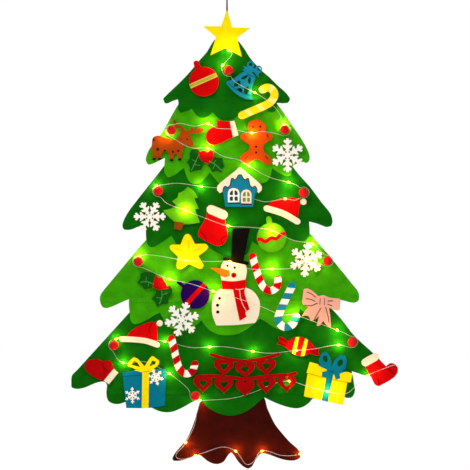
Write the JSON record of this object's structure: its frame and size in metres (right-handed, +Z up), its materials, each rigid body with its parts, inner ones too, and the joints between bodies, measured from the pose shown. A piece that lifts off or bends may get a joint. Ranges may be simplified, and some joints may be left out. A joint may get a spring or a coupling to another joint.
{
  "type": "felt christmas tree wall hanging",
  "caption": "Flat felt christmas tree for a wall: scalloped green tiers on a brown trunk, with pull-off felt ornaments, wool pompoms, a light string, a battery box and a hanging loop.",
  "frame": {"origin": "the point of the hanging loop that rests on its hook or nail", "axes": "+Z up, -Y out of the decorated front, so the wall is on the +Y side; +X to the right seen from the front"},
  "size_m": [0.7219, 0.0516, 1.0596],
  "materials": {
    "tier_1": "felt",
    "tier_2": "felt",
    "tier_3": "felt",
    "tier_4": "felt",
    "tier_5": "felt",
    "trunk": "felt",
    "top_star": "felt",
    "hanging_cord": "twisted cord",
    "bell": "felt",
    "mitten_top": "felt",
    "gingerbread": "felt",
    "reindeer": "felt",
    "holly_top": "felt",
    "fir_small": "felt",
    "stocking_mid": "felt",
    "hat_right": "felt",
    "ball_green": "felt",
    "star_yellow": "felt",
    "snowman": "felt",
    "cane_red_mid": "felt",
    "snowflake_3": "felt",
    "holly_left": "felt",
    "ball_purple": "felt",
    "cane_blue": "felt",
    "bow_pink": "felt",
    "candy": "felt",
    "gift_yellow": "felt",
    "stocking_right": "felt",
    "pompom_1": "wool",
    "pompom_2": "wool",
    "pompom_3": "wool",
    "pompom_4": "wool",
    "pompom_5": "wool",
    "pompom_6": "wool",
    "pompom_7": "wool",
    "pompom_8": "wool",
    "pompom_9": "wool",
    "pompom_10": "wool",
    "light_wire_upper": "thin lacquered wire",
    "light_wire_lower": "thin lacquered wire",
    "battery_case": "satin",
    "case_tape": "hook and loop tape",
    "contact_left": "plated",
    "contact_right": "plated",
    "cell_1": "satin",
    "cell_2": "satin",
    "cell_3": "satin",
    "ball_red": "felt",
    "cane_yellow": "felt",
    "snowflake_1": "felt",
    "snowflake_2": "felt",
    "snowflake_4": "felt",
    "house": "felt",
    "hat_left": "felt",
    "cane_red_left": "felt",
    "mitten_left": "felt",
    "gift_blue": "felt",
    "garland": "felt",
    "battery_cover": "satin",
    "power_switch": "satin"
  },
  "bodies": {
    "tree": {"tier_1": "tier_1", "tier_2": "tier_2", "tier_3": "tier_3", "tier_4": "tier_4", "tier_5": "tier_5", "trunk": "trunk", "top_star": "top_star", "hanging_cord": "hanging_cord", "bell": "bell", "mitten_top": "mitten_top", "gingerbread": "gingerbread", "reindeer": "reindeer", "holly_top": "holly_top", "fir_small": "fir_small", "stocking_mid": "stocking_mid", "hat_right": "hat_right", "ball_green": "ball_green", "star_yellow": "star_yellow", "snowman": "snowman", "cane_red_mid": "cane_red_mid", "snowflake_3": "snowflake_3", "holly_left": "holly_left", "ball_purple": "ball_purple", "cane_blue": "cane_blue", "bow_pink": "bow_pink", "candy": "candy", "gift_yellow": "gift_yellow", "stocking_right": "stocking_right", "pompom_1": "pompom_1", "pompom_2": "pompom_2", "pompom_3": "pompom_3", "pompom_4": "pompom_4", "pompom_5": "pompom_5", "pompom_6": "pompom_6", "pompom_7": "pompom_7", "pompom_8": "pompom_8", "pompom_9": "pompom_9", "pompom_10": "pompom_10", "light_wire_upper": "light_wire_upper", "light_wire_lower": "light_wire_lower", "battery_case": "battery_case", "case_tape": "case_tape", "contact_left": "contact_left", "contact_right": "contact_right", "cell_1": "cell_1", "cell_2": "cell_2", "cell_3": "cell_3"},
    "ball_red": {"ball_red": "ball_red"},
    "cane_yellow": {"cane_yellow": "cane_yellow"},
    "snowflake_1": {"snowflake_1": "snowflake_1"},
    "snowflake_2": {"snowflake_2": "snowflake_2"},
    "snowflake_4": {"snowflake_4": "snowflake_4"},
    "house": {"house": "house"},
    "hat_left": {"hat_left": "hat_left"},
    "cane_red_left": {"cane_red_left": "cane_red_left"},
    "mitten_left": {"mitten_left": "mitten_left"},
    "gift_blue": {"gift_blue": "gift_blue"},
    "garland": {"garland": "garland"},
    "battery_cover": {"battery_cover": "battery_cover"},
    "power_switch": {"power_switch": "power_switch"}
  },
  "joints": [
    {"name": "ball_red_pull", "type": "slide", "parent": "tree", "child": "ball_red", "axis": [0, -1, 0], "range_m": [0, 0.05]},
    {"name": "cane_yellow_pull", "type": "slide", "parent": "tree", "child": "cane_yellow", "axis": [0, -1, 0], "range_m": [0, 0.05]},
    {"name": "snowflake_1_pull", "type": "slide", "parent": "tree", "child": "snowflake_1", "axis": [0, -1, 0], "range_m": [0, 0.05]},
    {"name": "snowflake_2_pull", "type": "slide", "parent": "tree", "child": "snowflake_2", "axis": [0, -1, 0], "range_m": [0, 0.05]},
    {"name": "snowflake_4_pull", "type": "slide", "parent": "tree", "child": "snowflake_4", "axis": [0, -1, 0], "range_m": [0, 0.05]},
    {"name": "house_pull", "type": "slide", "parent": "tree", "child": "house", "axis": [0, -1, 0], "range_m": [0, 0.05]},
    {"name": "hat_left_pull", "type": "slide", "parent": "tree", "child": "hat_left", "axis": [0, -1, 0], "range_m": [0, 0.05]},
    {"name": "cane_red_left_pull", "type": "slide", "parent": "tree", "child": "cane_red_left", "axis": [0, -1, 0], "range_m": [0, 0.05]},
    {"name": "mitten_left_pull", "type": "slide", "parent": "tree", "child": "mitten_left", "axis": [0, -1, 0], "range_m": [0, 0.05]},
    {"name": "gift_blue_pull", "type": "slide", "parent": "tree", "child": "gift_blue", "axis": [0, -1, 0], "range_m": [0, 0.05]},
    {"name": "garland_pull", "type": "slide", "parent": "tree", "child": "garland", "axis": [0, -1, 0], "range_m": [0, 0.05]},
    {"name": "battery_cover_slide", "type": "slide", "parent": "tree", "child": "battery_cover", "axis": [1, 0, 0], "range_m": [0, 0.071]},
    {"name": "power_switch_slide", "type": "slide", "parent": "tree", "child": "power_switch", "axis": [1, 0, 0], "range_m": [0, 0.003]}
  ]
}
